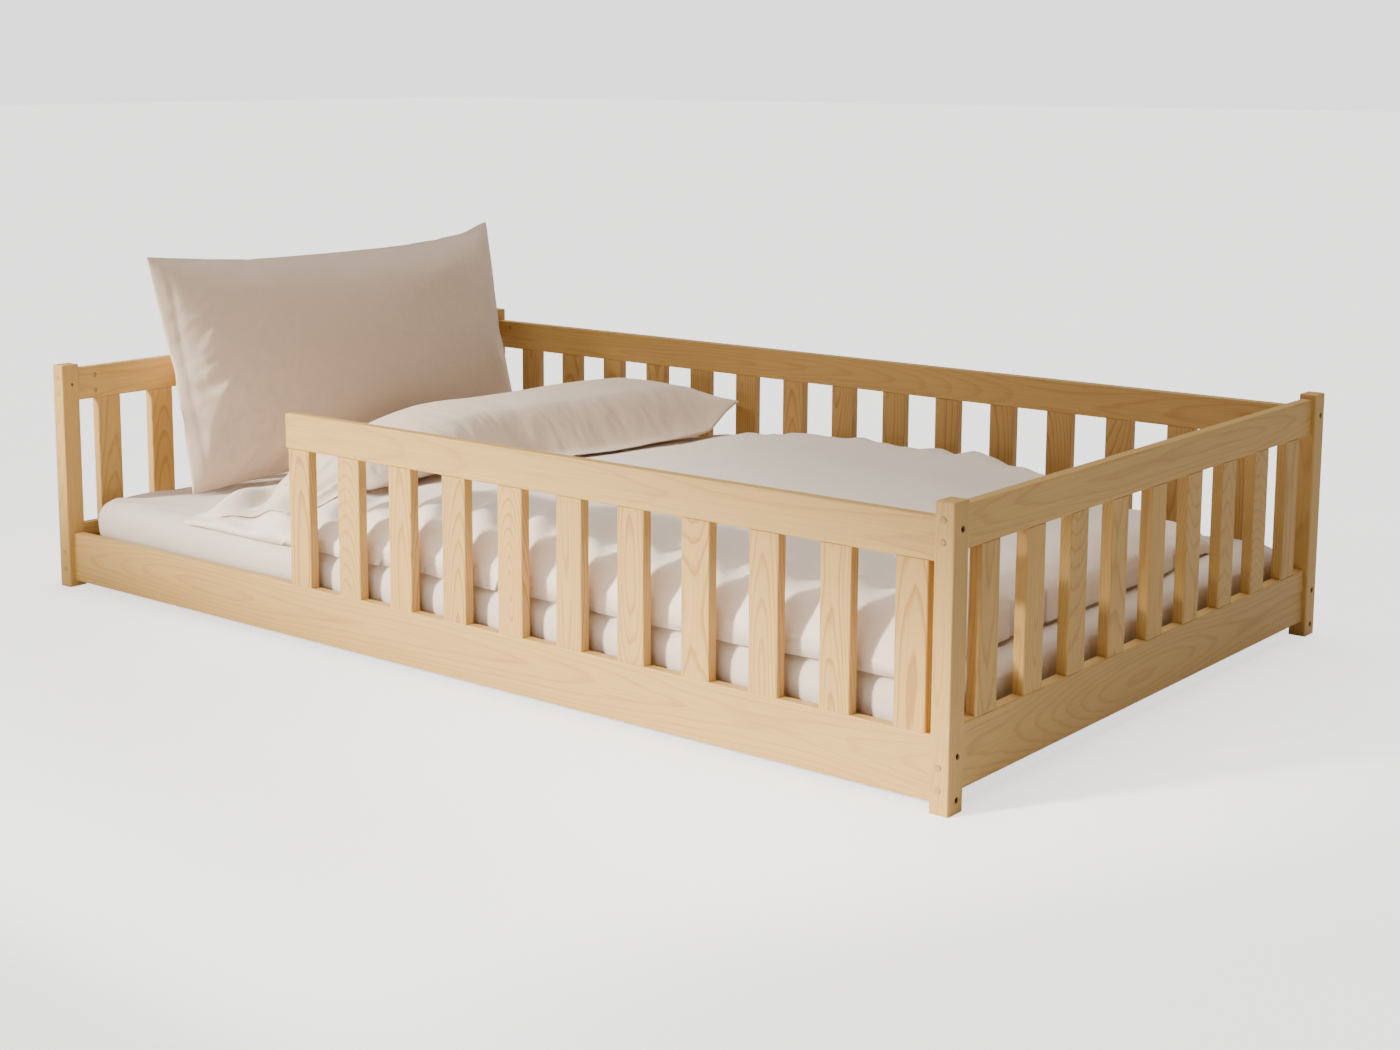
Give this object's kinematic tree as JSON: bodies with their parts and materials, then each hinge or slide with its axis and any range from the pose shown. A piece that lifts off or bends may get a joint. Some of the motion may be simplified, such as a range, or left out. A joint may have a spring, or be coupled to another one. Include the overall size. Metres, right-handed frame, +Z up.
{
  "type": "toddler bed",
  "caption": "Low solid-pine floor bed with slatted guards on all four sides and an entrance gap, slatted base, mattress, duvet and two pillows.",
  "frame": {"origin": "on the floor under the middle of the bed", "axes": "+X towards the foot, along the length; -Y is the long side with the entrance; +Z up"},
  "size_m": [2.08, 1.2824, 0.6596],
  "materials": {
    "pine_posts": "oiled pine, straight grain",
    "pine_rails": "oiled pine, fine lengthwise grain",
    "pine_slats": "oiled pine, cathedral grain",
    "pine_base": "raw pine",
    "beech_dowels": "raw beech",
    "wood_caps": "smooth turned wood",
    "dark_bolts": "blackened steel",
    "zinc_fittings": "zinc plated",
    "zinc_screws": "zinc plated",
    "mattress_cover": "woven cotton fitted sheet",
    "duvet_cotton": "washed cotton",
    "pillow_cotton": "washed cotton"
  },
  "bodies": {
    "frame": {"back_slats": "pine_slats", "barrel_nuts": "zinc_fittings", "base_slat_screws": "zinc_screws", "base_slats": "pine_base", "beam_screws": "zinc_screws", "bolt_caps": "wood_caps", "centre_beam": "pine_base", "centre_feet": "pine_base", "end_rail_bolts": "zinc_fittings", "foot_slat_01": "pine_slats", "foot_slat_02": "pine_slats", "foot_slat_03": "pine_slats", "foot_slat_04": "pine_slats", "foot_slat_05": "pine_slats", "foot_slat_06": "pine_slats", "foot_slat_07": "pine_slats", "foot_slat_08": "pine_slats", "foot_slat_09": "pine_slats", "front_slat_01": "pine_slats", "front_slat_02": "pine_slats", "front_slat_03": "pine_slats", "front_slat_04": "pine_slats", "front_slat_05": "pine_slats", "front_slat_06": "pine_slats", "front_slat_07": "pine_slats", "front_slat_08": "pine_slats", "front_slat_09": "pine_slats", "front_slat_10": "pine_slats", "front_slat_11": "pine_slats", "head_slat_01": "pine_slats", "head_slat_02": "pine_slats", "head_slat_03": "pine_slats", "head_slat_04": "pine_slats", "head_slat_05": "pine_slats", "head_slat_06": "pine_slats", "head_slat_07": "pine_slats", "head_slat_08": "pine_slats", "head_slat_09": "pine_slats", "ledger_back": "pine_base", "ledger_front": "pine_base", "ledger_screws": "zinc_screws", "post_foot_back": "pine_posts", "post_foot_front": "pine_posts", "post_head_back": "pine_posts", "post_head_front": "pine_posts", "rail_back_bottom": "pine_rails", "rail_back_top": "pine_rails", "rail_foot_bottom": "pine_rails", "rail_foot_top": "pine_rails", "rail_front_bottom": "pine_rails", "rail_front_top": "pine_rails", "rail_head_bottom": "pine_rails", "rail_head_top": "pine_rails", "side_rail_bolts": "dark_bolts", "slat_dowels": "beech_dowels"},
    "mattress": {"mattress": "mattress_cover"},
    "duvet": {"duvet": "duvet_cotton"},
    "pillow_upright": {"pillow_upright": "pillow_cotton"},
    "pillow_flat": {"pillow_flat": "pillow_cotton"}
  },
  "joints": [
    {"name": "mattress_lift", "type": "slide", "parent": "frame", "child": "mattress", "axis": [0, 0, 1], "range_m": [0, 0.4]},
    {"name": "duvet_lift", "type": "slide", "parent": "mattress", "child": "duvet", "axis": [0, 0, 1], "range_m": [0, 0.3]},
    {"name": "pillow_upright_lift", "type": "slide", "parent": "mattress", "child": "pillow_upright", "axis": [0, 0, 1], "range_m": [0, 0.3]},
    {"name": "pillow_flat_lift", "type": "slide", "parent": "duvet", "child": "pillow_flat", "axis": [0, 0, 1], "range_m": [0, 0.25]}
  ]
}
